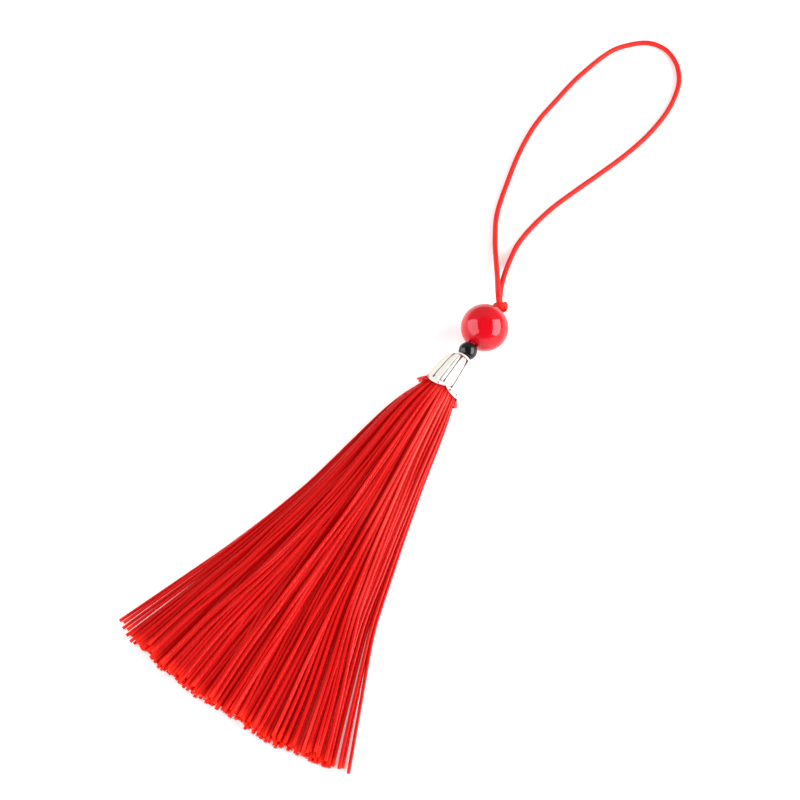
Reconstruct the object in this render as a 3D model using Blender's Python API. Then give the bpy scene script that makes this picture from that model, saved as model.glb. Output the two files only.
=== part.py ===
"""A silk tassel pendant lying on a table, drawn in metres with +Z up.

From the cut ends to the hanging loop it runs along +Y: a skirt of threads bound to a head,
a petal cap over the head, a small black bead, a larger red bead, the knot and the loop.
"""

import math
from collections import namedtuple

import bmesh
import bpy
import numpy as np
from mathutils import Matrix, Vector
from mathutils.geometry import delaunay_2d_cdt

MM = 0.001

# Gaps to keep between neighbours; the cap is tilted, so its own are a little wider
SEAT_GAP = 0.3 * MM
TILTED_GAP = 0.36 * MM

# Beads and the doubled cord in their bores
RED_RADIUS = 5.0 * MM
RED_SIDES = 32
RED_BANDS = 13
BLACK_RADIUS = 1.92 * MM
BLACK_SIDES = 20
BLACK_BANDS = 9
BORE_RADIUS = 1.1 * MM
STEM_RADIUS = 0.78 * MM
CORD_RADIUS = 0.575 * MM

# Petal cap: its length from the collar to the petals' tips, and its petals
CAP_LENGTH = 9.75 * MM
CAP_TILT = math.radians(3.0)
PETALS = 6
SIDES_PER_PETAL = 10
PETAL_TURN = math.radians(21)
LOBE_LENGTH = 0.65 * MM
LOBE_ROUNDNESS = 0.7
GROOVE_DEPTH = 0.2 * MM
NOTCH_DEPTH = 0.38 * MM

# Shares of a petal's width: how far its grooves are from its sides, how wide they are, and
# how far each notch at a groove's top reaches to both sides
GROOVE_PLACE = 0.2
GROOVE_SPREAD = 0.07
NOTCH_REACH = 0.12

# A ring of the cap: where it is along the cap, its radius, and how much of the grooves,
# of the notches at their tops and of the rim's scallops it has
CapRing = namedtuple("CapRing", "along radius groove notch lobe")
CAP_OUTSIDE = (
    CapRing(0.00, 1.50, 0.0, 0.0, 0.0),
    CapRing(0.15, 1.78, 0.0, 0.0, 0.0),
    CapRing(0.48, 1.78, 0.0, 0.0, 0.0),
    CapRing(0.62, 1.52, 0.0, 0.0, 0.0),
    CapRing(0.80, 1.56, 0.0, 0.2, 0.0),
    CapRing(0.98, 2.30, 0.2, 1.0, 0.0),
    CapRing(1.40, 2.60, 0.5, 0.9, 0.0),
    CapRing(2.10, 2.78, 0.8, 0.5, 0.0),
    CapRing(3.40, 3.02, 1.0, 0.1, 0.0),
    CapRing(5.20, 3.30, 1.0, 0.0, 0.0),
    CapRing(6.80, 3.62, 1.0, 0.0, 0.1),
    CapRing(7.95, 3.93, 0.9, 0.0, 0.6),
    CapRing(8.25, 4.06, 0.0, 0.0, 0.9),
    CapRing(8.45, 4.32, 0.0, 0.0, 1.0),
    CapRing(9.10, 4.42, 0.0, 0.0, 1.0),
)
CAP_INSIDE = (
    CapRing(9.10, 3.98, 0.0, 0.0, 1.0),
    CapRing(7.80, 3.50, 0.0, 0.0, 0.5),
    CapRing(6.40, 3.15, 0.0, 0.0, 0.0),
    CapRing(4.60, 2.76, 0.0, 0.0, 0.0),
    CapRing(3.00, 2.46, 0.0, 0.0, 0.0),
    CapRing(1.60, 1.72, 0.0, 0.0, 0.0),
    CapRing(1.00, 1.14, 0.0, 0.0, 0.0),
)

# Bound head of the tassel inside the cap: places along the cap, and radii
HEAD_SIDES = 36
HeadRing = namedtuple("HeadRing", "along radius")
HEAD_RINGS = (
    HeadRing(1.85, 1.25),
    HeadRing(3.00, 1.98),
    HeadRing(5.00, 2.50),
    HeadRing(7.60, 3.08),
)

# Skirt: each thread has three sides, one of them flat underneath
THREADS = 240
THREAD_CHORD = 77.75 * MM
LEFT_LENGTHENING = 0.8 * MM
RIGHT_LENGTHENING = 1.8 * MM
CUT_UNEVENNESS = 0.55 * MM
SETTLE_LIMIT = 0.14
WANDER = 0.03 * MM
WANDER_START = 20 * MM
CLUMP = 0.05
CLUMPS_ACROSS = 9
SEED = 11

# A section of the skirt, in millimetres past the notches of the cap's rim. The rise is how far
# the lowest threads are off the table, and flat is the share of the underside pressed level.
Section = namedtuple("Section", "run half_width thickness rise flat sway thread")
SECTIONS = (
    Section(0.6, 3.40, 6.7, 0.98, 0.0, 0.0, 0.155),
    Section(3.0, 4.95, 7.3, 0.28, 0.1, -0.6, 0.19),
    Section(9.0, 6.95, 6.5, 0.0, 0.4, -1.0, 0.22),
    Section(18.0, 9.0, 5.5, 0.0, 0.7, -0.85, 0.235),
    Section(30.0, 11.9, 4.5, 0.0, 1.0, -0.6, 0.25),
    Section(50.0, 18.2, 3.3, 0.0, 1.0, -0.6, 0.265),
    Section(79.0, 29.6, 2.3, 0.0, 1.0, 0.1, 0.28),
)
ROOT_HALF_WIDTH = 2.82 * MM
ROOT_THREAD = 0.135 * MM

# Ends of the binding thread that stick out under the rim, one on each side
TieEnd = namedtuple("TieEnd", "side x past_rim z")
TIE_ENDS = (TieEnd(-1, -5.1, 1.2, 6.0), TieEnd(1, 4.8, 1.9, 3.6))

# Knot: where it sits on the red bead, which way the cord leaves it, and its cut stub
KNOT_PLACE = Vector((-0.15, 6.72, 5.08)) * MM
KNOT_OUT = Vector((-0.53, 0.84, -0.08)).normalized()
KNOT_SIDES = 16
STUB_END = Vector((1.55, 6.28, 5.70)) * MM
STUB_SIDES = 10
STEM_TOP_Y = 5.17 * MM

# A ring of the knot's two wraps, in millimetres: its place along the cord that leaves the knot,
# its half sizes across and over that cord, and how far it slants
KnotRing = namedtuple("KnotRing", "along across over slant")
KNOT_RINGS = (
    KnotRing(-1.00, 0.80, 0.78, 0.0),
    KnotRing(-0.80, 1.12, 1.05, 0.08),
    KnotRing(-0.48, 1.55, 1.28, 0.16),
    KnotRing(-0.16, 1.40, 1.10, 0.12),
    KnotRing(0.02, 1.22, 0.98, 0.0),
    KnotRing(0.22, 1.42, 1.14, -0.1),
    KnotRing(0.55, 1.50, 1.30, -0.18),
    KnotRing(0.88, 1.18, 1.12, -0.1),
    KnotRing(1.02, 0.92, 0.95, 0.0),
)

# Route of the loop on the table, in millimetres, from the knot round and back to it
LOOP_LEFT_START = Vector((-1.33, 7.86, 5.48)) * MM
LOOP_RIGHT_START = Vector((-1.02, 8.08, 4.31)) * MM
LOOP_ROUTE = (
    (-2.23, 9.24, 5.15),
    (-3.5, 11.42, 4.05),
    (-4.81, 13.6, 2.95),
    (-6.49, 16.27, 1.78),
    (-8.45, 19.29, 1.0),
    (-11.15, 23.55, 0.63),
    (-14.24, 29.65, 0.585),
    (-16.64, 38.12, 0.585),
    (-18.74, 47.52, 0.585),
    (-19.64, 56.22, 0.585),
    (-19.14, 64.72, 0.585),
    (-18.24, 73.72, 0.585),
    (-15.84, 84.02, 0.585),
    (-12.64, 88.92, 0.585),
    (-9.14, 91.62, 0.585),
    (-4.94, 91.72, 0.585),
    (-0.94, 89.22, 0.585),
    (1.86, 85.22, 0.585),
    (3.36, 80.32, 0.585),
    (3.96, 74.32, 0.585),
    (3.46, 67.02, 0.585),
    (2.06, 59.92, 0.585),
    (-0.14, 52.32, 0.585),
    (-2.44, 45.12, 0.585),
    (-4.64, 37.62, 0.585),
    (-5.84, 30.92, 0.585),
    (-6.18, 25.21, 0.605),
    (-5.55, 20.84, 0.87),
    (-4.53, 16.66, 1.47),
    (-3.55, 13.69, 2.2),
    (-2.45, 10.96, 3.3),
)
LOOP_POINTS = 80
LOOP_STEPS = 24
LOOP_RESOLUTION = 2

# Colours, roughness and metallic values of the finishes
Finish = namedtuple("Finish", "colour roughness metallic")
FINISHES = {
    "skirt": Finish((0.72, 0.012, 0.012), 0.42, 0.0),
    "cap": Finish((0.86, 0.85, 0.83), 0.25, 1.0),
    "black_bead": Finish((0.010, 0.010, 0.011), 0.08, 0.0),
    "red_bead": Finish((0.68, 0.012, 0.020), 0.06, 0.0),
    "knot": Finish((0.80, 0.030, 0.020), 0.6, 0.0),
    "loop": Finish((0.80, 0.030, 0.020), 0.6, 0.0),
}


def widest_band(radius, bands):
    """Radius of the level band round a bead's middle, and the angles of its rings."""
    reach = math.acos(BORE_RADIUS / radius)
    angles = [reach * (2 * i / bands - 1) for i in range(bands + 1)]
    return radius * math.cos(reach / bands), angles


RED_BAND = widest_band(RED_RADIUS, RED_BANDS)[0]
AXIS_HEIGHT = RED_BAND * math.cos(math.pi / RED_SIDES)
RED_HALF = math.sqrt(RED_RADIUS**2 - BORE_RADIUS**2)
BLACK_HALF = math.sqrt(BLACK_RADIUS**2 - BORE_RADIUS**2)
RED_Y = 0.1 * MM
BLACK_Y = RED_Y - RED_HALF - SEAT_GAP - BLACK_HALF
CAP_TOP = Vector((0.0, BLACK_Y - BLACK_HALF - TILTED_GAP, AXIS_HEIGHT))
CAP_FRAME = Matrix.Translation(CAP_TOP) @ Matrix.Rotation(math.pi / 2 + CAP_TILT, 4, "X")
RIM_Y = CAP_TOP.y - (CAP_LENGTH - LOBE_LENGTH) * math.cos(CAP_TILT)
STEM_END_Y = CAP_TOP.y - HEAD_RINGS[0].along * MM + TILTED_GAP


def finished(mesh_or_curve, name, owner):
    """Links a piece under the owner, with its own material."""
    piece = bpy.data.objects.new(name, mesh_or_curve)
    bpy.context.collection.objects.link(piece)
    piece.parent = owner
    finish = FINISHES[name]
    material = bpy.data.materials.new(name)
    material.use_nodes = True
    shader = material.node_tree.nodes["Principled BSDF"]
    shader.inputs["Base Color"].default_value = (*finish.colour, 1)
    shader.inputs["Roughness"].default_value = finish.roughness
    shader.inputs["Metallic"].default_value = finish.metallic
    piece.data.materials.append(material)
    return piece


def mesh_from(bm, name, smooth=True):
    """A mesh with its faces pointing out, shaded smooth but for edges over 40 degrees."""
    bmesh.ops.recalc_face_normals(bm, faces=bm.faces)
    mesh = bpy.data.meshes.new(name)
    bm.to_mesh(mesh)
    bm.free()
    if smooth:
        mesh.shade_smooth()
        mesh.set_sharp_from_angle(angle=math.radians(40))
    return mesh


def bridge(bm, ring, other):
    """Joins two rings of as many vertices with quads."""
    for i in range(len(ring)):
        j = (i + 1) % len(ring)
        bm.faces.new((ring[i], ring[j], other[j], other[i]))


def hoop(bm, rings):
    """A closed solid of rings that also join last to first, such as a bored bead."""
    made = [[bm.verts.new(p) for p in ring] for ring in rings]
    for ring, other in zip(made, made[1:] + made[:1]):
        bridge(bm, ring, other)


def rod(bm, rings):
    """A closed solid of rings, with a flat face at each end."""
    made = [[bm.verts.new(p) for p in ring] for ring in rings]
    for ring, other in zip(made, made[1:]):
        bridge(bm, ring, other)
    bm.faces.new(made[0])
    bm.faces.new(made[-1])


def circle(radius, height, sides, turn=0.0):
    """Points of a level circle round the Z axis."""
    angles = [turn + 2 * math.pi * i / sides for i in range(sides)]
    return [Vector((radius * math.cos(a), radius * math.sin(a), height)) for a in angles]


def bead(name, radius, sides, bands, y, owner):
    """A round bead threaded along Y, with a level facet underneath."""
    angles = widest_band(radius, bands)[1]
    turn = math.pi / sides
    rings = [
        circle(radius * math.cos(a), radius * math.sin(a), sides, turn) for a in angles
    ]
    bm = bmesh.new()
    hoop(bm, rings)
    piece = finished(mesh_from(bm, name), name, owner)
    piece.rotation_euler.x = math.pi / 2
    piece.location = (0, y, AXIS_HEIGHT)
    return piece


def from_groove(angle):
    """Share of a petal's width between an angle and the nearest groove."""
    petal = 2 * math.pi / PETALS
    from_side = min(angle % petal, petal - angle % petal)
    return abs(from_side / petal - GROOVE_PLACE)


def groove_share(angle):
    """Depth of the two grooves of a petal, 0 to 1, at an angle from one of its sides."""
    return math.exp(-((from_groove(angle) / GROOVE_SPREAD) ** 2))


def notch_share(angle):
    """Depth of the notches at the grooves' tops, 0 to 1."""
    return max(0.0, 1 - from_groove(angle) / NOTCH_REACH)


def cap_points(ring):
    """Points of one ring of the cap, with its Z axis running down the cap."""
    points = []
    sides = PETALS * SIDES_PER_PETAL
    for i in range(sides):
        angle = 2 * math.pi * i / sides
        lobe = abs(math.sin(angle * PETALS / 2)) ** LOBE_ROUNDNESS * LOBE_LENGTH
        radius = ring.radius * MM
        radius -= ring.groove * groove_share(angle) * GROOVE_DEPTH
        radius -= ring.notch * notch_share(angle) * NOTCH_DEPTH
        turned = PETAL_TURN - angle
        place = (radius * math.sin(turned), radius * math.cos(turned))
        points.append(Vector((*place, ring.along * MM + ring.lobe * lobe)))
    return points


def cap(owner):
    """The thin petal cap, open at its rim and bored at its collar."""
    bore = CapRing(0.0, BORE_RADIUS / MM, 0.0, 0.0, 0.0)
    bm = bmesh.new()
    hoop(bm, [cap_points(ring) for ring in (bore, *CAP_OUTSIDE, *CAP_INSIDE)])
    piece = finished(mesh_from(bm, "cap"), "cap", owner)
    piece.rotation_euler.x = math.pi / 2 + CAP_TILT
    piece.location = CAP_TOP
    return piece


def even_spread(count):
    """Places in a disc of radius 1 that stay well apart however the disc is flattened."""
    golden = (1 + math.sqrt(5)) / 2
    reach = int(math.sqrt(count)) + 4
    steps = range(-reach, reach + 1)
    offset = np.array((0.31, 0.17))
    places = [
        np.array((m + n * golden, m + n * (1 - golden))) + offset
        for m in steps
        for n in steps
    ]
    places.sort(key=lambda place: float(place @ place))
    kept = np.array(places[:count])
    return kept / np.linalg.norm(kept[-1])


def section_at(run):
    """The skirt's section at a run, between the rows of the table, in metres."""
    runs = [row.run * MM for row in SECTIONS]
    values = [np.interp(run, runs, column) for column in zip(*SECTIONS)]
    section = Section(*(value * MM for value in values))
    return section._replace(flat=section.flat / MM)


def thread_centre(place, low, section):
    """Where a thread passes a section: across it, and above the table."""
    side = math.sqrt(max(0.0, 1 - place[0] ** 2))
    settled = low * (1 - section.flat) if low < SETTLE_LIMIT else low
    clump = CLUMP / CLUMPS_ACROSS * math.sin(2 * CLUMPS_ACROSS * place[0] + 1)
    x = section.sway + section.half_width * (place[0] + clump * section.flat)
    belly = (1 - section.flat) * (1 - side)
    z = section.rise + section.thread / 2 + section.thickness / 2 * (settled + belly)
    return x, z


def triangle(x, y, z, radius):
    """Points of a thread's section, with a level side underneath."""
    angles = [math.radians(a) for a in (90, 210, 330)]
    return [Vector((x + radius * math.cos(a), y, z + radius * math.sin(a))) for a in angles]


def thread_sections(place, noise):
    """The triangles that one thread runs through, from the head's face to its cut end."""
    side = math.sqrt(max(0.0, 1 - place[0] ** 2))
    low = place[1] + side
    face_along = HEAD_RINGS[-1].along * MM
    root = Vector((place[0] * ROOT_HALF_WIDTH, place[1] * ROOT_HALF_WIDTH, face_along))
    corners = [root + Vector((p.x, p.z, 0)) for p in triangle(0, 0, 0, ROOT_THREAD)]
    rings = [[CAP_FRAME @ corner for corner in corners]]
    tie = next((t for t in TIE_ENDS if t.side * place[0] > 0 and noise["tie"]), None)
    if tie:
        section = section_at(SECTIONS[0].run * MM)
        x, z = thread_centre(place, low, section)
        rings.append(triangle(x, RIM_Y - section.run, z, section.thread))
        rings.append(triangle(tie.x * MM, RIM_Y - tie.past_rim * MM, tie.z * MM, section.thread))
        return rings
    widest = section_at(THREAD_CHORD)
    end_x = thread_centre(place, low, widest)[0]
    lengthening = LEFT_LENGTHENING if place[0] < 0 else RIGHT_LENGTHENING
    chord = THREAD_CHORD + lengthening * abs(place[0]) + CUT_UNEVENNESS * noise["cut"]
    end_run = math.sqrt(chord**2 - end_x**2)
    lifted = min(1.0, max(0.0, low / SETTLE_LIMIT - 1))
    for row in SECTIONS:
        run = min(row.run * MM, end_run)
        x, z = thread_centre(place, low, section_at(run))
        loose = WANDER * min(1.0, run / WANDER_START)
        x += loose * noise["across"][len(rings)]
        z += loose * noise["over"][len(rings)] * lifted
        rings.append(triangle(x, RIM_Y - run, z, section_at(run).thread))
    return rings


def skirt_threads():
    """The rings of every thread."""
    random = np.random.RandomState(SEED)
    places = even_spread(THREADS)
    tie_threads = {int(np.argmin(places[:, 0])), int(np.argmax(places[:, 0]))}
    threads = []
    for i, place in enumerate(places):
        noise = {
            "cut": random.uniform(-1, 1),
            "across": random.uniform(-1, 1, len(SECTIONS) + 1),
            "over": random.uniform(0, 1, len(SECTIONS) + 1),
            "tie": i in tie_threads,
        }
        threads.append(thread_sections(place, noise))
    return threads


def face_between(bm, outline, islands):
    """Fills the head's flat face round the roots of the threads."""
    to_local = CAP_FRAME.inverted()
    verts = list(outline) + [vert for island in islands for vert in island]
    flat = [(to_local @ vert.co).to_2d() for vert in verts]
    first = len(outline)
    edges = [(i, (i + 1) % first) for i in range(first)]
    roots = []
    for island in islands:
        roots.append(list(range(first, first + len(island))))
        first += len(island)
    made = delaunay_2d_cdt(flat, edges, roots, 0, 1e-9)
    back = {new: old[0] for new, old in enumerate(made[3]) if old}
    for corners, source in zip(made[2], made[5]):
        if not source:
            bm.faces.new([verts[back[i]] for i in corners])


def skirt(owner):
    """The bound head and the threads that grow out of its face, as one solid."""
    bm = bmesh.new()
    head = []
    for ring in HEAD_RINGS:
        points = circle(ring.radius * MM, ring.along * MM, HEAD_SIDES)
        head.append([bm.verts.new(CAP_FRAME @ p) for p in points])
    for ring, other in zip(head, head[1:]):
        bridge(bm, ring, other)
    bm.faces.new(head[0])
    roots = []
    for rings in skirt_threads():
        made = [[bm.verts.new(p) for p in ring] for ring in rings]
        for ring, other in zip(made, made[1:]):
            bridge(bm, ring, other)
        bm.faces.new(made[-1])
        roots.append(made[0])
    face_between(bm, head[-1], roots)
    return finished(mesh_from(bm, "skirt", smooth=False), "skirt", owner)


def knot_body():
    """The doubled cord in the bores, and the two wraps of the knot on top of it."""
    across = KNOT_OUT.cross(Vector((0, 0, 1))).normalized()
    over = across.cross(KNOT_OUT)
    turns = [2 * math.pi * i / KNOT_SIDES for i in range(KNOT_SIDES)]
    rings = []
    for y in (STEM_END_Y, STEM_TOP_Y):
        ring = []
        for t in turns:
            z = AXIS_HEIGHT + STEM_RADIUS * math.sin(t)
            ring.append(Vector((STEM_RADIUS * math.cos(t), y, z)))
        rings.append(ring)
    for row in KNOT_RINGS:
        ring = []
        for t in turns:
            sideways = row.across * math.cos(t)
            along = row.along + row.slant * sideways
            upward = row.over * math.sin(t)
            ring.append(KNOT_PLACE + (KNOT_OUT * along + across * sideways + over * upward) * MM)
        rings.append(ring)
    bm = bmesh.new()
    rod(bm, rings)
    bmesh.ops.triangulate(bm, faces=bm.faces)
    return bm


def stub():
    """The short cut end of the cord beside the knot."""
    out = (STUB_END - KNOT_PLACE).normalized()
    frame = Matrix.Translation(KNOT_PLACE) @ out.to_track_quat("Z", "Y").to_matrix().to_4x4()
    length = (STUB_END - KNOT_PLACE).length
    bm = bmesh.new()
    ends = [circle(CORD_RADIUS, height, STUB_SIDES) for height in (0.0, length)]
    rod(bm, [[frame @ p for p in ring] for ring in ends])
    bmesh.ops.triangulate(bm, faces=bm.faces)
    return bm


def knot(owner):
    """The overhand knot with its cut stub, and the doubled cord that carries the beads."""
    piece = finished(mesh_from(knot_body(), "knot"), "knot", owner)
    added = bpy.data.objects.new("knot_stub", mesh_from(stub(), "knot_stub"))
    bpy.context.collection.objects.link(added)
    added.parent = owner
    added.hide_render = True
    added.display_type = "WIRE"
    union = piece.modifiers.new("stub", "BOOLEAN")
    union.operation = "UNION"
    union.solver = "EXACT"
    union.object = added
    return piece


def smooth_route(points, count):
    """Points evenly spaced along a smooth curve through the route's own points."""
    fine = []
    padded = [2 * points[0] - points[1], *points, 2 * points[-1] - points[-2]]
    for a, b, c, d in zip(padded, padded[1:], padded[2:], padded[3:]):
        for i in range(LOOP_STEPS):
            t = i / LOOP_STEPS
            bend = (2 * a - 5 * b + 4 * c - d) * t**2
            twist = (3 * b - a - 3 * c + d) * t**3
            fine.append((2 * b + (c - a) * t + bend + twist) / 2)
    fine.append(points[-1])
    fine = np.array([tuple(p) for p in fine])
    travelled = np.concatenate(([0], np.cumsum(np.linalg.norm(np.diff(fine, axis=0), axis=1))))
    wanted = np.linspace(0, travelled[-1], count)
    return np.stack([np.interp(wanted, travelled, fine[:, k]) for k in range(3)], axis=1)


def loop(owner):
    """The hanging loop of cord, out of the knot and back to it."""
    route = [LOOP_LEFT_START, *(Vector(p) * MM for p in LOOP_ROUTE), LOOP_RIGHT_START]
    curve = bpy.data.curves.new("loop", "CURVE")
    curve.dimensions = "3D"
    curve.bevel_depth = CORD_RADIUS
    curve.bevel_resolution = LOOP_RESOLUTION
    curve.use_fill_caps = True
    spline = curve.splines.new("POLY")
    spline.points.add(LOOP_POINTS - 1)
    for point, place in zip(spline.points, smooth_route(route, LOOP_POINTS)):
        point.co = (*place, 1)
    return finished(curve, "loop", owner)


def centre_on_floor(pieces, owner):
    """Moves the whole object so that its box, without the loop, stands on the origin."""
    bpy.context.view_layer.update()
    graph = bpy.context.evaluated_depsgraph_get()
    corners = []
    for piece in pieces:
        seen = piece.evaluated_get(graph)
        corners += [seen.matrix_world @ vert.co for vert in seen.data.vertices]
    low = [min(c[i] for c in corners) for i in range(3)]
    high = [max(c[i] for c in corners) for i in range(3)]
    owner.location = (-(low[0] + high[0]) / 2, -(low[1] + high[1]) / 2, -low[2])


def main():
    for old in list(bpy.data.objects):
        bpy.data.objects.remove(old)
    owner = bpy.data.objects.new("tassel", None)
    bpy.context.collection.objects.link(owner)
    pieces = [
        skirt(owner),
        cap(owner),
        bead("black_bead", BLACK_RADIUS, BLACK_SIDES, BLACK_BANDS, BLACK_Y, owner),
        bead("red_bead", RED_RADIUS, RED_SIDES, RED_BANDS, RED_Y, owner),
        knot(owner),
    ]
    loop(owner)
    centre_on_floor(pieces, owner)


main()
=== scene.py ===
import math

import bmesh
import bpy
import numpy as np
from mathutils import Matrix, Vector


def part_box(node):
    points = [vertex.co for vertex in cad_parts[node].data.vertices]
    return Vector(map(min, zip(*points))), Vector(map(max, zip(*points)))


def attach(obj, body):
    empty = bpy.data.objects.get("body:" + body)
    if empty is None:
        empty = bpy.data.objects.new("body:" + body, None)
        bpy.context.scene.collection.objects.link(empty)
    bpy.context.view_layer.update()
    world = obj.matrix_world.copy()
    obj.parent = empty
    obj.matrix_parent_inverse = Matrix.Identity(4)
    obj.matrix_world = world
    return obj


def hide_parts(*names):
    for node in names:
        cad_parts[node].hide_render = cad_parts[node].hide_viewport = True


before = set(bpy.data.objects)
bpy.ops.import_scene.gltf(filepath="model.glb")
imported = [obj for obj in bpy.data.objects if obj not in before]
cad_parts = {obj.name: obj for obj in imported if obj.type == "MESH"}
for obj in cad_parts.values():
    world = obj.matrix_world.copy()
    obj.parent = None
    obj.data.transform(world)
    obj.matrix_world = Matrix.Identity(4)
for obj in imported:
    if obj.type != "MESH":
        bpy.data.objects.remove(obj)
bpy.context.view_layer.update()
scene = bpy.context.scene
scene.view_settings.view_transform = "Standard"
mm = 0.001

# Where things are: the threading axis runs along +Y through both beads
redLow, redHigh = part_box("red_bead")
blackLow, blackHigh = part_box("black_bead")
redCentre = (redLow + redHigh) / 2
blackCentre = (blackLow + blackHigh) / 2
axisX = redCentre.x
axisHeight = redCentre.z
beadSeat = 0.1 * mm  # the red bead sits this far along from the drawing's own origin
origin = Vector((axisX, redCentre.y - beadSeat, 0))


def placed(x, y, z):
    # a point given in millimetres from the spot on the table under the red bead
    return origin + Vector((x, y, z)) * mm


# Camera, at the photo's view
camera = {
    "from": (81.3, -160.9, 285.8),
    "lookAt": (-7.07, -21.55, 0.0),
    "lens": 72.2,
    "sensor": 36.0,
    "clip": (0.01, 10.0),  # nearest and farthest, in metres
}


def makeCamera():
    data = bpy.data.cameras.new("photoCamera")
    data.lens = camera["lens"]
    data.sensor_width = camera["sensor"]
    data.clip_start, data.clip_end = camera["clip"]
    seat = bpy.data.objects.new("photoCamera", data)
    seat.location = placed(*camera["from"])
    looking = placed(*camera["lookAt"]) - seat.location
    seat.rotation_euler = looking.to_track_quat("-Z", "Y").to_euler()
    scene.collection.objects.link(seat)
    scene.camera = seat
    return seat


cameraSeat = makeCamera()
print("camera in place")


# Small helpers for shader nodes


def newMaterial(name, baseColour, roughness, metallic=0.0):
    made = bpy.data.materials.new(name)
    made.use_nodes = True
    shader = made.node_tree.nodes["Principled BSDF"]
    shader.inputs["Base Color"].default_value = (*baseColour, 1)
    shader.inputs["Roughness"].default_value = roughness
    shader.inputs["Metallic"].default_value = metallic
    return made, shader


def addNode(material, kind, values=None, **settings):
    node = material.node_tree.nodes.new(kind)
    for key, value in settings.items():
        setattr(node, key, value)
    for key, value in (values or {}).items():
        node.inputs[key].default_value = value
    return node


def join(material, fromSocket, toSocket):
    material.node_tree.links.new(fromSocket, toSocket)


def mathNode(material, operation, first, second=None):
    node = addNode(material, "ShaderNodeMath", operation=operation)
    for place, value in enumerate((first, second)):
        if value is None:
            continue
        if isinstance(value, (int, float)):
            node.inputs[place].default_value = value
        else:
            join(material, value, node.inputs[place])
    return node.outputs[0]


def mixColours(material, share, first, second):
    node = addNode(material, "ShaderNodeMix", data_type="RGBA")
    sockets = (node.inputs["Factor"], node.inputs[6], node.inputs[7])
    for socket, value in zip(sockets, (share, first, second)):
        if isinstance(value, tuple):
            socket.default_value = (*value, 1)
        elif isinstance(value, (int, float)):
            socket.default_value = value
        else:
            join(material, value, socket)
    return node.outputs[2]


def rampNode(material, share, stops):
    node = addNode(material, "ShaderNodeMapRange", interpolation_type="SMOOTHSTEP")
    node.inputs["From Min"].default_value = stops[0]
    node.inputs["From Max"].default_value = stops[1]
    join(material, share, node.inputs["Value"])
    return node.outputs["Result"]


def between(material, share, low, high):
    node = addNode(material, "ShaderNodeMapRange", {"To Min": low, "To Max": high})
    join(material, share, node.inputs["Value"])
    return node.outputs["Result"]


def noiseOf(material, scale, detail):
    spot = addNode(material, "ShaderNodeTexCoord")
    noise = addNode(material, "ShaderNodeTexNoise", {"Scale": scale, "Detail": detail})
    join(material, spot.outputs["Object"], noise.inputs["Vector"])
    return noise.outputs[0]


def valueOf(material, name):
    return addNode(material, "ShaderNodeAttribute", attribute_name=name).outputs["Fac"]


def windings(material, times, pitch):
    # angles round a thread or cord, so many times over, and along it, one turn to each pitch
    place = addNode(material, "ShaderNodeUVMap", uv_map="thread")
    parts = addNode(material, "ShaderNodeSeparateXYZ")
    join(material, place.outputs[0], parts.inputs[0])
    turned = mathNode(material, "MULTIPLY", parts.outputs["X"], 2 * math.pi * times)
    return turned, mathNode(material, "MULTIPLY", parts.outputs["Y"], 2 * math.pi / pitch)


def bumpFrom(material, height, strength, distance):
    node = addNode(material, "ShaderNodeBump", {"Strength": strength, "Distance": distance})
    join(material, height, node.inputs["Height"])
    return node.outputs["Normal"]


# Small helpers for lines and meshes


def hump(value, middle, spread):
    return np.exp(-(((value - middle) / spread) ** 2))


def smoothLine(points, count, steps=24):
    # evenly spaced points on a smooth curve through the given ones
    points = [Vector(p) for p in points]
    padded = [2 * points[0] - points[1], *points, 2 * points[-1] - points[-2]]
    fine = []
    for a, b, c, d in zip(padded, padded[1:], padded[2:], padded[3:]):
        for i in range(steps):
            t = i / steps
            bend = (2 * a - 5 * b + 4 * c - d) * t**2
            twist = (3 * b - a - 3 * c + d) * t**3
            fine.append((2 * b + (c - a) * t + bend + twist) / 2)
    fine = np.array([*fine, points[-1]], float)
    travelled = lengthsAlong(fine)
    wanted = np.linspace(0, travelled[-1], count)
    return np.stack([np.interp(wanted, travelled, fine[:, k]) for k in range(3)], axis=1)


def lengthsAlong(line):
    return np.concatenate(([0], np.cumsum(np.linalg.norm(np.diff(line, axis=0), axis=1))))


def ringsAlong(line, radii, sides, firstSide=(1, 0, 0)):
    # rings of points round a line, which turn as little as they can along it
    line = np.asarray(line, float)
    ahead = np.gradient(line, axis=0)
    ahead /= np.linalg.norm(ahead, axis=1)[:, None]
    side = np.array(firstSide, float)
    across = []
    for direction in ahead:
        side = side - direction * (side @ direction)
        side /= np.linalg.norm(side)
        across.append(side)
    across = np.array(across)
    over = np.cross(ahead, across)
    angles = 2 * np.pi * np.arange(sides) / sides
    spokes = np.cos(angles)[None, :, None] * across[:, None]
    spokes = spokes + np.sin(angles)[None, :, None] * over[:, None]
    radii = np.asarray(radii, float)
    if radii.ndim == 1:
        radii = np.repeat(radii[:, None], sides, axis=1)
    return line[:, None] + spokes * radii[:, :, None]


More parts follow.
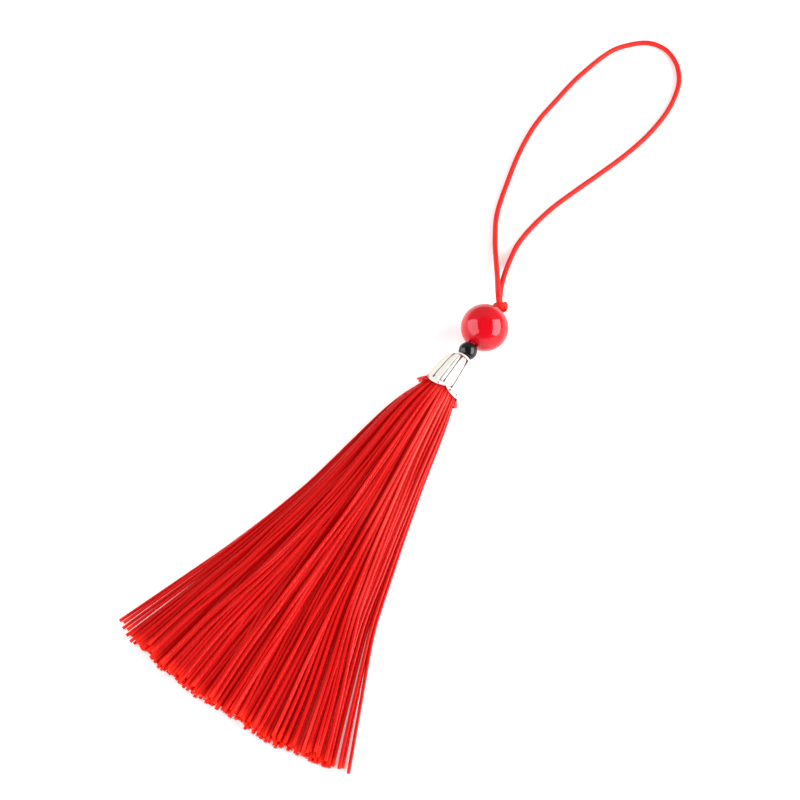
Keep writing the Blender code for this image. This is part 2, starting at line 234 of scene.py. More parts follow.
def tubesToMesh(name, tubes, sharpFrom=math.radians(50)):
    # tubes: dictionaries with rings of points, the length along at each ring, and values per ring
    verts, faces, uvs = [], [], []
    values = {}
    for tube in tubes:
        rings, along = tube["rings"], tube["along"]
        count, sides = rings.shape[:2]
        base = len(verts)
        verts.extend(map(tuple, rings.reshape(-1, 3)))
        for k in range(count - 1):
            for s in range(sides):
                t = (s + 1) % sides
                first, second = base + k * sides, base + (k + 1) * sides
                faces.append((first + s, first + t, second + t, second + s))
                left, right = s / sides, (s + 1) / sides
                low, high = along[k], along[k + 1]
                uvs.extend(((left, low), (right, low), (right, high), (left, high)))
        for ring, order in ((0, -1), (count - 1, 1)):
            corners = [base + ring * sides + s for s in range(sides)][::order]
            faces.append(tuple(corners))
            uvs.extend([(0.5, along[ring])] * sides)
        for key, perRing in tube["values"].items():
            spread = np.repeat(np.broadcast_to(perRing, (count,)), sides)
            values.setdefault(key, []).append(spread)
    mesh = bpy.data.meshes.new(name)
    mesh.from_pydata(verts, [], faces)
    layer = mesh.uv_layers.new(name="thread")
    layer.data.foreach_set("uv", np.array(uvs, np.float32).ravel())
    for key, parts in values.items():
        attribute = mesh.attributes.new(key, "FLOAT", "POINT")
        attribute.data.foreach_set("value", np.concatenate(parts).astype(np.float32))
    mesh.shade_smooth()
    mesh.set_sharp_from_angle(angle=sharpFrom)
    mesh.update()
    return mesh


def closedMesh(name, bm, rings):
    # faces between each ring and the next, and between the last and the first
    for ring, other in zip(rings, rings[1:] + rings[:1]):
        for i in range(len(ring)):
            j = (i + 1) % len(ring)
            bm.faces.new((ring[i], ring[j], other[j], other[i]))
    bmesh.ops.recalc_face_normals(bm, faces=bm.faces)
    mesh = bpy.data.meshes.new(name)
    bm.to_mesh(mesh)
    bm.free()
    mesh.shade_smooth()
    return mesh


def newPiece(name, data, material, body, slot, *nodes):
    piece = bpy.data.objects.new(name, data)
    scene.collection.objects.link(piece)
    data.materials.append(material)
    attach(piece, body)
    if nodes:
        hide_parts(*nodes)
    return piece


# Braided cord, for the loop and the knot
cordLook = {
    "colour": (0.78, 0.022, 0.014),
    "shade": (0.50, 0.006, 0.005),
    "roughness": 0.55,
    "radius": 0.575 * mm,
    "relief": 0.06,  # share of the radius
    "meanHeight": 0.75,  # where the relief, from 0 to 1, keeps the cord's own radius
    "strandPitch": 2.6 * mm,
    "strands": 4,  # in each direction round the cord
    "sides": 20,
    "step": 0.13 * mm,
    "fuzzScale": 2600.0,
    "fuzzShare": 0.5,
    "shadeRange": (0.35, 1.1),  # the colour gives way to the shade between these heights
    "bump": 0.35,
    "bumpHeight": 0.05 * mm,
    "sheen": 0.12,
    "sheenRoughness": 0.4,
    "sheenTint": (1.0, 0.35, 0.28),
    "gloss": 0.2,
}


def braidRadii(along, sides):
    # two sets of strands wind opposite ways and pass over and under each other
    turned = 2 * np.pi * np.arange(sides)[None, :] / sides
    climb = 2 * np.pi * along[:, None] / cordLook["strandPitch"]
    half = cordLook["strands"] / 2
    one = np.cos(half * (turned + climb))
    two = np.cos(half * (turned - climb))
    weave = np.sin(cordLook["strands"] * turned) * np.sin(cordLook["strands"] * climb)
    height = np.where(weave > 0, np.abs(one), np.abs(two))
    return cordLook["radius"] * (1 + cordLook["relief"] * (height - cordLook["meanHeight"]))


def braidedTube(line, firstSide=(0, 0, 1)):
    along = lengthsAlong(line)
    radii = braidRadii(along, cordLook["sides"])
    rings = ringsAlong(line, radii, cordLook["sides"], firstSide)
    return {"rings": rings, "along": along / mm, "values": {}}


def cordMaterial():
    made, shader = newMaterial("braidedCord", cordLook["colour"], cordLook["roughness"])
    turned, climb = windings(made, 1, cordLook["strandPitch"] / mm)
    lines = []
    for sign in (1, -1):
        signed = mathNode(made, "MULTIPLY", climb, sign)
        angle = mathNode(made, "ADD", turned, signed)
        wave = mathNode(made, "SINE", mathNode(made, "MULTIPLY", angle, cordLook["strands"] / 2))
        lines.append(mathNode(made, "ABSOLUTE", wave))
    cross = mathNode(made, "MULTIPLY", lines[0], lines[1])
    fuzz = noiseOf(made, cordLook["fuzzScale"], 3.0)
    fuzzy = mathNode(made, "MULTIPLY", fuzz, cordLook["fuzzShare"])
    height = mathNode(made, "ADD", cross, fuzzy)
    share = rampNode(made, height, cordLook["shadeRange"])
    colour = mixColours(made, share, cordLook["colour"], cordLook["shade"])
    join(made, colour, shader.inputs["Base Color"])
    bump = bumpFrom(made, height, cordLook["bump"], cordLook["bumpHeight"])
    join(made, bump, shader.inputs["Normal"])
    shader.inputs["Sheen Weight"].default_value = cordLook["sheen"]
    shader.inputs["Sheen Roughness"].default_value = cordLook["sheenRoughness"]
    shader.inputs["Sheen Tint"].default_value = (*cordLook["sheenTint"], 1)
    shader.inputs["Specular IOR Level"].default_value = cordLook["gloss"]
    return made


# Loop on the table, from the knot round and back to it, in millimetres
loop = {
    "start": (-1.33, 7.86, 5.48),
    "route": (
        (-2.23, 9.24, 5.15),
        (-3.5, 11.42, 4.05),
        (-4.81, 13.6, 2.95),
        (-6.49, 16.27, 1.78),
        (-8.45, 19.29, 1.0),
        (-11.15, 23.55, 0.63),
        (-14.24, 29.65, 0.585),
        (-16.64, 38.12, 0.585),
        (-18.74, 47.52, 0.585),
        (-19.64, 56.22, 0.585),
        (-19.14, 64.72, 0.585),
        (-18.24, 73.72, 0.585),
        (-15.84, 84.02, 0.585),
        (-12.64, 88.92, 0.585),
        (-9.14, 91.62, 0.585),
        (-4.94, 91.72, 0.585),
        (-0.94, 89.22, 0.585),
        (1.86, 85.22, 0.585),
        (3.36, 80.32, 0.585),
        (3.96, 74.32, 0.585),
        (3.46, 67.02, 0.585),
        (2.06, 59.92, 0.585),
        (-0.14, 52.32, 0.585),
        (-2.44, 45.12, 0.585),
        (-4.64, 37.62, 0.585),
        (-5.84, 30.92, 0.585),
        (-6.18, 25.21, 0.605),
        (-5.55, 20.84, 0.87),
        (-4.53, 16.66, 1.47),
        (-3.55, 13.69, 2.2),
        (-2.45, 10.96, 3.3),
    ),
    "end": (-1.02, 8.08, 4.31),
    "measuringPoints": 80,
    "pathEvery": 12,
}


def makeLoop(material):
    route = [placed(*p) for p in (loop["start"], *loop["route"], loop["end"])]
    length = float(lengthsAlong(smoothLine(route, loop["measuringPoints"]))[-1])
    line = smoothLine(route, int(length / cordLook["step"]))
    mesh = tubesToMesh("hangingLoop", [braidedTube(line)])
    piece = newPiece("hangingLoop", mesh, material, "tassel", "red_cord", "loop")
    print("hanging loop", round(length / mm), "mm")
    return piece


cordFinish = cordMaterial()
makeLoop(cordFinish)

# Knot over the red bead's bore, in millimetres from the spot under the bead
knot = {
    "middle": (0.12, 6.26, 4.68),
    "leaving": (-0.53, 0.84, -0.08),  # the way in which the loop leaves it
    "across": 1.08,  # half the width and the height of the wraps
    "over": 0.86,
    "from": -0.50,  # the wraps run from here to there along the way it leaves
    "to": 0.62,
    "turns": 1.9,
    "startTurn": 0.15,
    "stub": (1.28, 5.80, 5.36),  # the cut end
    "wrapPoints": 24,
    "wrapRings": 90,
    "legRings": 160,
    "legStart": 0.1,  # the legs start this far inside the ends of the loop
    "legsAside": 0.3,  # how far each leg is off the knot's middle
    "boreTop": 4.6,  # from the red bead's centre
    "legsApart": 0.34,  # how far each leg is off the axis in the bores
}


def makeKnot(material):
    middle = placed(*knot["middle"])
    leaving = Vector(knot["leaving"]).normalized()
    across = leaving.cross(Vector((0, 0, 1))).normalized()
    over = across.cross(leaving)
    wraps = []
    for t in np.linspace(0, 1, knot["wrapPoints"]):
        angle = 2 * math.pi * (knot["startTurn"] + knot["turns"] * t)
        along = knot["from"] + (knot["to"] - knot["from"]) * t
        sideways = knot["across"] * math.cos(angle)
        upward = knot["over"] * math.sin(angle)
        wraps.append(middle + (leaving * along + across * sideways + over * upward) * mm)
    wraps.append(placed(*knot["stub"]))
    tubes = [braidedTube(smoothLine(wraps, knot["wrapRings"]))]
    # the two legs pass down through the wraps and both bores, into the cap
    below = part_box("knot")[0].y
    for sign, top in ((-1, loop["start"]), (1, loop["end"])):
        apart = Vector((0, 0, -sign * knot["legsApart"] * mm))
        legs = [
            placed(*top) - leaving * knot["legStart"] * mm,
            middle + across * sign * knot["legsAside"] * mm + apart,
            Vector((axisX, redCentre.y + knot["boreTop"] * mm, axisHeight)) + apart,
            Vector((axisX, redCentre.y, axisHeight)) + apart,
            Vector((axisX, blackCentre.y, axisHeight)) + apart,
            Vector((axisX, below, axisHeight)) + apart,
        ]
        tubes.append(braidedTube(smoothLine(legs, knot["legRings"])))
    mesh = tubesToMesh("knottedCord", tubes)
    newPiece("knottedCord", mesh, material, "tassel", "red_cord", "knot")
    print("knot and the cord through the beads")


makeKnot(cordFinish)

# Beads: their radii come from the frame, the rest is here
beads = {
    "bore": 0.95 * mm,
    "chamfer": 0.08 * mm,
    "sides": 96,
    "bands": 60,
    "boreBands": 6,
    "mouthDrop": 0.3,  # share of the chamfer by which the bore starts lower
    "sharpFrom": math.radians(35),
    "solidBore": 1.1 * mm,  # the black bead's solid ends where a bore of this radius meets it
}


def beadMesh(name, radius):
    # its outside and its bore, turned about the threading axis
    mouth = math.acos((beads["bore"] + beads["chamfer"]) / radius)
    steps = np.linspace(-mouth, mouth, beads["bands"])
    profile = [(radius * math.cos(a), radius * math.sin(a)) for a in steps]
    endHeight = math.sqrt(radius**2 - beads["bore"] ** 2) - beads["mouthDrop"] * beads["chamfer"]
    profile += [(beads["bore"], h) for h in np.linspace(endHeight, -endHeight, beads["boreBands"])]
    bm = bmesh.new()
    rings = []
    for out, up in profile:
        ring = []
        for i in range(beads["sides"]):
            turn = 2 * math.pi * i / beads["sides"]
            ring.append(bm.verts.new((out * math.cos(turn), -up, out * math.sin(turn))))
        rings.append(ring)
    mesh = closedMesh(name, bm, rings)
    mesh.set_sharp_from_angle(angle=beads["sharpFrom"])
    return mesh


beadLook = {
    "red": (0.55, 0.003, 0.009),
    "redEdge": (0.72, 0.05, 0.07),
    "redDepth": 1.5 * mm,  # how far light gets into the red
    "redDepthShare": 0.15,
    "redDepthColour": (1.0, 0.2, 0.1),
    "redGlossTint": (1.0, 0.82, 0.92),
    "black": (0.006, 0.006, 0.007),
    "blackEdge": (0.03, 0.03, 0.03),
    "blackGloss": 0.42,
    "cloudScale": 180.0,
    "cloudRange": (0.35, 0.75),
    "cloudShare": 0.05,
    "dustScale": 1400.0,
    "roughness": 0.04,
    "roughnessRange": (0.6, 1.8),  # times that roughness, from clean to dusty
    "rimRoughness": 0.22,  # dust and fine scratches dull the grazing rim
    "rimRange": (0.55, 0.95),
    "ior": 1.46,
}


def beadMaterial(name, colour, edgeColour):
    made, shader = newMaterial(name, colour, beadLook["roughness"])
    cloud = noiseOf(made, beadLook["cloudScale"], 4.0)
    share = rampNode(made, cloud, beadLook["cloudRange"])
    clouded = mathNode(made, "MULTIPLY", share, beadLook["cloudShare"])
    join(made, mixColours(made, clouded, colour, edgeColour), shader.inputs["Base Color"])
    dust = noiseOf(made, beadLook["dustScale"], 2.0)
    clean, dusty = (beadLook["roughness"] * times for times in beadLook["roughnessRange"])
    rough = between(made, dust, clean, dusty)
    facing = addNode(made, "ShaderNodeLayerWeight", {"Blend": 0.5})
    rim = rampNode(made, facing.outputs["Facing"], beadLook["rimRange"])
    rimRough = mathNode(made, "MULTIPLY", rim, beadLook["rimRoughness"])
    join(made, mathNode(made, "ADD", rough, rimRough), shader.inputs["Roughness"])
    shader.inputs["IOR"].default_value = beadLook["ior"]
    return made


def makeBeads():
    redFinish = beadMaterial("redBead", beadLook["red"], beadLook["redEdge"])
    shader = redFinish.node_tree.nodes["Principled BSDF"]
    shader.inputs["Subsurface Weight"].default_value = beadLook["redDepthShare"]
    shader.inputs["Subsurface Radius"].default_value = beadLook["redDepthColour"]
    shader.inputs["Subsurface Scale"].default_value = beadLook["redDepth"]
    shader.inputs["Specular Tint"].default_value = (*beadLook["redGlossTint"], 1)
    blackFinish = beadMaterial("blackBead", beadLook["black"], beadLook["blackEdge"])
    shader = blackFinish.node_tree.nodes["Principled BSDF"]
    shader.inputs["Specular IOR Level"].default_value = beadLook["blackGloss"]
    blackRadius = math.hypot((blackHigh.y - blackLow.y) / 2, beads["solidBore"])
    for name, centre, radius, finish, slot, node in (
        ("largeBead", redCentre, axisHeight, redFinish, "red_gloss", "red_bead"),
        ("smallBead", blackCentre, blackRadius, blackFinish, "black_gloss", "black_bead"),
    ):
        mesh = beadMesh(name, radius)
        mesh.transform(Matrix.Translation(centre))
        newPiece(name, mesh, finish, node, slot, node)
    print("two beads")


makeBeads()

# Petal cap. A row is a ring of it: how far along the cap, its radius in millimetres, and its
# share of the grooves that part its ribs and of the rim's scallops. Marks round it are in
# degrees from the top towards +X
cap = {
    "petals": 6,
    "sides": 360,
    "turn": math.radians(21),
    "tilt": math.radians(3.0),
    "lobe": 0.65,
    "lobeRoundness": 0.7,
    "grooveDepth": 0.20,
    # each groove and each shallow fold: its place, its spread and its share of the depth
    "grooves": (
        (-28, 2.3, 1.0),
        (8, 1.9, 0.95),
        (38, 2.5, 0.9),
        (78, 3.0, 0.85),
        (112, 2.2, 1.0),
        (150, 2.0, 0.9),
        (185, 2.2, 1.0),
        (222, 2.0, 0.8),
        (262, 2.4, 1.0),
    ),
    "folds": (
        (-63, 7.0, 1.8),
        (-40, 2.4, 1.0),
        (-3, 2.4, 1.9),
        (21, 2.4, 1.5),
        (60, 2.4, 0.5),
        (95, 2.4, 0.8),
        (130, 2.4, 1.0),
        (168, 2.4, 0.8),
        (204, 2.4, 1.0),
        (240, 2.4, 1.0),
    ),
    "foldDepth": 0.04,
    "topSpread": 4.5,  # degrees that the grooves gain where they open at the top
    "topPlace": 1.1,  # down to here, and over this length the gain fades
    "topLength": 0.7,
    # painted shade in warm cream patches on the ribs: place, spread and share
    "shadePatches": (
        (-80, 22, 1.0),
        (-52, 14, 0.7),
        (-14, 8, 0.35),
        (17, 5, 0.35),
        (45, 3, 0.35),
        (110, 14, 0.8),
        (160, 18, 1.0),
        (215, 20, 0.9),
        (255, 20, 1.0),
    ),
    # dull spots near the rim: place, along, spread round and along, and how dark
    "spots": (
        (-54, 8.55, 9.0, 0.40, 1.25),
        (-25, 8.35, 3.6, 0.30, 1.2),
        (-1, 9.50, 5.0, 0.25, 0.95),
        (2, 8.70, 3.0, 0.30, 0.8),
        (9, 8.45, 3.0, 0.35, 0.8),
        (34, 8.50, 3.4, 0.28, 0.9),
        (37, 9.35, 5.0, 0.34, 1.25),
        (64, 8.95, 6.0, 0.34, 1.3),
        (87, 9.20, 4.5, 0.22, 0.85),
    ),
    "fineness": 5,  # rings to each row of the outside
    "outside": (
        (0.00, 1.50, 0.0, 0.0),
        (0.05, 1.70, 0.0, 0.0),
        (0.14, 1.78, 0.0, 0.0),
        (0.40, 1.78, 0.0, 0.0),
        (0.48, 1.70, 0.0, 0.0),
        (0.54, 1.52, 0.0, 0.0),
        (0.78, 1.56, 0.2, 0.0),
        (0.94, 2.42, 1.2, 0.0),
        (1.15, 2.74, 1.7, 0.0),
        (1.50, 2.96, 1.6, 0.0),
        (2.10, 3.17, 1.3, 0.0),
        (3.40, 3.46, 1.0, 0.0),
        (5.20, 3.74, 1.0, 0.0),
        (6.80, 3.97, 1.0, 0.1),
        (7.70, 4.08, 1.0, 0.5),
        (8.05, 4.11, 1.3, 0.8),
        (8.20, 4.13, 1.3, 0.9),
        (8.31, 4.15, 0.0, 0.95),
        (8.41, 4.27, 0.0, 1.0),
        (8.65, 4.36, 0.0, 1.0),
        (8.95, 4.38, 0.0, 1.0),
        (9.10, 4.30, 0.0, 1.0),
    ),
    "inside": (
        (9.10, 4.02, 0.0, 1.0),
        (7.80, 3.50, 0.0, 0.5),
        (6.40, 3.15, 0.0, 0.0),
        (4.60, 2.76, 0.0, 0.0),
        (3.00, 2.46, 0.0, 0.0),
        (1.60, 1.72, 0.0, 0.0),
        (1.00, 1.10, 0.0, 0.0),
        (0.00, 1.10, 0.0, 0.0),
    ),
    "length": 9.75,  # from the collar to the petals' tips
    # how dark each painted mark is, with the places and spreads of those that run round the cap:
    # painted shade in the grooves over their patina, and in the folds, the neck and under the
    # flange
    "grooveDark": 1.15,
    "grooveMost": 1.2,
    "foldDark": 0.42,
    "neckPlace": 0.72,
    "neckSpread": 0.26,
    "neckDark": 1.3,
    "flangePlace": 8.31,
    "flangeSpread": 0.07,
    "flangeDark": 0.35,
}


def capProfile():
    rows = []
    outside = cap["outside"]
    for row, following in zip(outside, outside[1:]):
        for i in range(cap["fineness"]):
            t = i / cap["fineness"]
            rows.append([a + (b - a) * t for a, b in zip(row, following)])
    rows.append(list(outside[-1]))
    rows.extend(list(row) for row in cap["inside"])
    return rows


def marksRound(degrees, marks, extra=0.0):
    total = 0
    for middle, spread, share in marks:
        apart = (degrees - middle + 180) % 360 - 180
        total = total + share * hump(apart, 0, spread + extra)
    return total


def makeCap():
    angles = 2 * np.pi * np.arange(cap["sides"]) / cap["sides"]
    degrees = np.degrees(angles + cap["turn"])
    folds = marksRound(degrees, cap["folds"])
    # share of the painted cream shade round the cap
    creamShadeShare = np.minimum(marksRound(degrees, cap["shadePatches"]), 1)
    lobes = np.abs(np.sin(angles * cap["petals"] / 2)) ** cap["lobeRoundness"]
    top = Vector((axisX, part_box("cap")[1].y, axisHeight))
    seated = Matrix.Translation(top) @ Matrix.Rotation(math.pi / 2 + cap["tilt"], 4, "X")
    bm = bmesh.new()
    shadeAndPatina = bm.verts.layers.float.new("shadeAndPatina")
    redShade = bm.verts.layers.float.new("redShade")
    creamShade = bm.verts.layers.float.new("creamShade")
    rings = []
    rows = capProfile()
    for row, (along, radius, groove, lobe) in enumerate(rows):
        outer = row < len(rows) - len(cap["inside"])
        pastTop = max(along - cap["topPlace"], 0)
        opening = cap["topSpread"] * math.exp(-pastTop / cap["topLength"])
        grooves = groove * marksRound(degrees, cap["grooves"], opening)
        ribs = min(1.0, groove) * folds
        out = radius - grooves * cap["grooveDepth"] - ribs * cap["foldDepth"]
        down = along + lobe * lobes * cap["lobe"]
        # painted shade in the neck under the collar, tinted red as a painted reflection
        neck = cap["neckDark"] * hump(along, cap["neckPlace"], cap["neckSpread"])
        neck = min(1.0, neck) * outer
        edge = cap["flangeDark"] * hump(along, cap["flangePlace"], cap["flangeSpread"]) * outer
        spots = 0
        for place, far, wide, long, weight in cap["spots"]:
            spots = spots + marksRound(degrees, ((place, wide, weight),)) * hump(down, far, long)
        # painted shade darkens the grooves, over their patina, and the folds, the neck and the
        # line under the flange; the spots near the rim darken too
        dark = cap["grooveDark"] * np.minimum(grooves, cap["grooveMost"])
        dark = dark + cap["foldDark"] * ribs + neck + edge + spots * outer
        ring = []
        for angle, o, d, t, c in zip(angles + cap["turn"], out, down, dark, creamShadeShare):
            local = Vector((o * math.sin(angle), o * math.cos(angle), d)) * mm
            vert = bm.verts.new(seated @ local)
            vert[shadeAndPatina] = min(1.0, t)
            vert[redShade] = neck
            vert[creamShade] = c * outer
            ring.append(vert)
        rings.append(ring)
    mesh = closedMesh("petalCap", bm, rings)
    newPiece("petalCap", mesh, capMaterial(), "tassel", "silver_plate", "cap")
    print("petal cap")


capLook = {
    "silver": (0.84, 0.82, 0.785),
    "creamShade": (0.68, 0.58, 0.47),
    # dark colour of the painted shade in the grooves, the folds and under the flange, and of the
    # grooves' patina
    "shadeAndPatina": (0.10, 0.05, 0.04),
    "redShade": (0.30, 0.006, 0.02),  # painted shade and painted red reflection in the line under the collar
    "metallic": 0.15,
    "roughness": 0.30,
    "shadeAndPatinaRoughness": 0.55,
    "grainScale": 900.0,
    "grainShare": 0.6,
    "shadeAndPatinaRange": (0.35, 1.0),
    "bump": 0.12,
    "bumpHeight": 0.03 * mm,
}


def capMaterial():
    roughness = capLook["roughness"]
    made, shader = newMaterial("silverPlate", capLook["silver"], roughness, capLook["metallic"])
    grain = noiseOf(made, capLook["grainScale"], 4.0)
    grainy = mathNode(made, "SUBTRACT", grain, 0.5)
    uneven = mathNode(made, "MULTIPLY", grainy, capLook["grainShare"])
    # painted shade and patina, broken by grain, darken the plate
    share = mathNode(made, "ADD", valueOf(made, "shadeAndPatina"), uneven)
    dark = rampNode(made, share, capLook["shadeAndPatinaRange"])
    # the ribs turn cream where the patches of painted shade lie
    plate = mixColours(made, valueOf(made, "creamShade"), capLook["silver"], capLook["creamShade"])
    shadeColours = mixColours(made, valueOf(made, "redShade"), capLook["shadeAndPatina"], capLook["redShade"])
    join(made, mixColours(made, dark, plate, shadeColours), shader.inputs["Base Color"])
    rough = between(made, dark, roughness, capLook["shadeAndPatinaRoughness"])
    join(made, rough, shader.inputs["Roughness"])
    bump = bumpFrom(made, grain, capLook["bump"], capLook["bumpHeight"])
    join(made, bump, shader.inputs["Normal"])
    return made


makeCap()

# Skirt of threads. A section is: how far past the notches of the cap's rim, the half width, the
# thickness, how far the lowest threads are off the table, how far the underside is pressed
# level (0 to 1), and how far the middle sways, all but the level in millimetres
skirt = {
    "threads": 256,
    "sides": 6,
    "seed": 5,
    "steps": 38,
    "sections": (
        (-2.5, 2.90, 5.8, 1.65, 0.0, 0.0),
        (0.6, 3.60, 6.8, 0.95, 0.0, 0.0),
        (3.0, 4.9, 7.3, 0.28, 0.1, -0.6),
        (9.0, 6.6, 6.5, 0.0, 0.4, -1.0),
        (18.0, 8.4, 5.5, 0.0, 0.7, -0.95),
        (30.0, 11.05, 4.5, 0.0, 1.0, -0.65),
        (50.0, 16.5, 3.4, 0.0, 1.0, -0.55),
        (79.0, 26.9, 2.4, 0.0, 1.0, 0.4),
    ),
    # how far past the notches, and the radius of a thread there
    "threadRadius": (
        (-2.5, 0.18),
        (0.6, 0.215),
        (4.0, 0.265),
        (12.0, 0.295),
        (30.0, 0.315),
        (79.0, 0.345),
    ),
    # the cut: how far the ends are in a straight line from the middle of the cap's notches,
    # what the edges gain, and how unevenly the small clumps and the single threads are cut
    "chord": 77.85,
    "leftLengthening": 0.5,
    "rightLengthening": 2.0,
    "cutSteps": 0.6,
    "cutUnevenness": 0.4,
    "evenRings": 0.6,  # the evenly spaced rings stop this far from the cut
    "endRings": (0.5, 0.12, 0.0),  # and a thread's last rings are this far from it
    "endShare": 0.96,  # of the radius, at the cut
    "bundles": 42,  # thick ones near the cap, which open out lower down
    "bundleCohesion": 0.62,
    "bundleShift": 0.06,
    "clumps": 114,  # small ones all the way down
    "clumpCohesion": 0.36,
    "clumpShift": 0.02,
    "reckoning": (1.6, 0.9),  # how much a gap across and a gap up count in gathering
    # threads cling less at the underside and on the left: where they cling least, where they
    # cling in full, and the least share, which leftCling gives for the left
    "underside": (-0.4, 0.3, 0.15),
    "leftSide": (-0.3, 0.2, 0.0),
    "leftCling": 0.2,
    # some of the top clumps ride over the others and drift sideways
    "riders": 46,
    "riderDrift": 0.30,
    "riderLift": 0.75,
    "riderReach": 0.78,  # they stay within this share of the half width
    "riderLeast": 0.3,  # least share of the lift
    "riderMiddle": 0.25,  # they are chosen near here, and less so by this much at a distance
    "riderAside": 0.4,
    # the top clumps part here, as shares of the half width
    "parting": 0.22,
    "partingWidth": 0.07,
    "partingReach": 0.35,
    "partingDepth": 0.2,  # down to this far under the middle
    "wander": 0.22,  # each thread's own waves across, and how long they are
    "wanderLength": 14.0,
    # where along the threads each of these takes hold or gives way, past the notches: from
    # none of it, to all of it, and the least share that stays
    "spans": {
        "bundle": ((0, 4, 0), (58, 18, 0)),
        "bundleShift": ((0, 10, 0), (65, 25, 0)),
        "clump": ((8, 33, 0.3), (95, 45, 0)),
        "clumpShift": ((2, 32, 0),),
        "parting": ((6, 26, 0), (78, 48, 0)),
        "drift": ((5, 65, 0),),
        "lift": ((5, 17, 0), (80, 50, 0.2)),
        "wander": ((2, 14, 0),),
    },
    # threads beyond this share of the half width stand off from the rest: how far, and from
    # where on, with all of it where looseFull says
    "looseFrom": 0.90,
    "looseLeft": 1.4,
    "looseRight": 2.0,
    "looseStartLeft": 34.0,
    "looseStartRight": 48.0,
    "looseFull": 75.0,
    "looseMost": 1.2,
    "looseLeast": 0.6,  # a thread's own least share of it
    # how threads settle: each round they push apart and are drawn back to their places
    "closeness": 0.90,  # share of their thickness that they keep between them
    "rounds": 14,
    "push": 0.4,
    "pull": 0.03,
    "memory": 0.90,  # share of the last section's shifts that the next one starts from
    "smoothings": 2,
    # painted highlight along a thread, from 0 to 1
    "gleamLength": 16.0,  # how long it stays much the same
    "gleamUnevenness": 0.6,
    "gleamBase": -0.28,
    "gleamTop": 0.25,  # how much more the top gleams than the underside
    "gleamLean": 0.8,  # how much more the right side gleams than the left
    "gleamEasing": (0.4, 0.9),  # how much less of that there is at the left and right edges
    "gleamFading": 0.56,  # how much more the part near the cap gleams than the rest
    "gleamFadingStart": 0.4,
    "gleamFadingLength": 40.0,
    "tintLeast": 0.5,  # the least tint at the left edge, which is darker as painted shade; elsewhere each thread's tint differs at random
    "tintLean": -1.5,
    # ends of the binding thread, by points on them: across, past the notches and up
    "tieEnds": (
        (
            (-2.6, 0.5, 7.6),
            (-2.86, 0.38, 8.0),
            (-3.76, 0.84, 7.6),
            (-4.35, 0.95, 6.9),
            (-4.75, 0.8, 6.2),
        ),
        ((-2.8, 0.9, 7.2), (-3.4, 1.1, 7.3), (-3.9, 1.2, 6.9), (-4.2, 1.1, 6.2)),
        ((3.3, 0.2, 4.6), (4.0, 0.8, 4.3), (4.57, 1.53, 3.8)),
        ((3.4, 0.0, 4.2), (4.1, 0.6, 4.0), (4.67, 1.2, 3.6)),
        ((3.1, 0.6, 4.5), (3.8, 1.1, 4.3), (4.39, 1.7, 3.9)),
    ),
    "tieRadius": 0.30,
    "tieRings": 10,
    "tieTint": 0.9,
}


def evenSpread(count):
    # places in a disc of radius 1, a golden lattice, so they stay apart however it is flattened
    golden = (1 + math.sqrt(5)) / 2
    reach = int(math.sqrt(count)) + 4
    steps = range(-reach, reach + 1)
    places = [(m + n * golden + 0.31, m + n * (1 - golden) + 0.17) for m in steps for n in steps]
    places.sort(key=lambda p: p[0] ** 2 + p[1] ** 2)
    kept = np.array(places[:count])
    return kept / np.linalg.norm(kept[-1])


def atRun(table, run):
    rows = np.array(table, float)
    return [float(np.interp(run, rows[:, 0], rows[:, k])) for k in range(1, rows.shape[1])]


def wantedPlaces(places, run):
    # where the threads would pass a section if each kept its own share of it
    halfWidth, thickness, rise, level, sway = atRun(skirt["sections"], run)
    side = np.sqrt(np.clip(1 - places[:, 0] ** 2, 0, None))
    low = places[:, 1] + side
    x = sway + halfWidth * places[:, 0]
    z = rise + thickness / 2 * (low + (1 - level) * (1 - side))
    return np.stack([x, z], axis=1)


def shareAt(amount, run, spans):
    # each span lets the amount grow from none, or from its least share, to all of it
    for none, full, least in spans:
        amount = amount * np.clip((run - none) / (full - none), least, 1)
    return amount


def gathered(places, count, shift, random):
    # threads share the nearest of some chosen places: whose each is, the middles and a small
    # sideways shift for each, which fades out at the edges
    chosen = places[random.choice(len(places), count, replace=False)]
    apart = np.linalg.norm((places[:, None] - chosen) * np.array(skirt["reckoning"]), axis=2)
    owner = apart.argmin(axis=1)
    middles = np.array([places[owner == c].mean(axis=0) for c in range(count)])
    shifts = random.uniform(-1, 1, count) * shift
    return owner, middles, shifts * (1 - np.abs(middles[:, 0]) ** 3)


def riding(middles, random):
    # how far each clump drifts sideways and is raised, which is none for most of them
    height = middles[:, 1] / np.sqrt(1 - np.clip(middles[:, 0] ** 2, 0, 0.9))
    aside = skirt["riderAside"] * np.abs(middles[:, 0] - skirt["riderMiddle"])
    topmost = np.argsort(aside - height)[: skirt["riders"] * 3 // 2]
    riders = random.choice(topmost, skirt["riders"], replace=False)
    swing = random.uniform(-1, 1, skirt["riders"])
    drift = np.zeros(skirt["clumps"])
    drift[riders] = skirt["riderDrift"] * swing * np.abs(swing) ** 0.5
    reach = np.clip(middles[:, 0] + drift, -skirt["riderReach"], skirt["riderReach"])
    drift = np.where(drift == 0, 0, reach - middles[:, 0])
    raised = np.zeros(skirt["clumps"])
    lifts = random.uniform(skirt["riderLeast"], 1, skirt["riders"])
    raised[riders] = skirt["riderLift"] * lifts
    return drift, raised


def partedBy(middles, drift):
    # the top clumps move away from the parting on both sides, apart from the riders
    off = middles[:, 0] - skirt["parting"]
    parted = np.sign(off) * hump(off, 0, skirt["partingReach"])
    parted *= np.clip(middles[:, 1] + skirt["partingDepth"], 0, 1)
    return parted * skirt["partingWidth"] * (drift == 0)


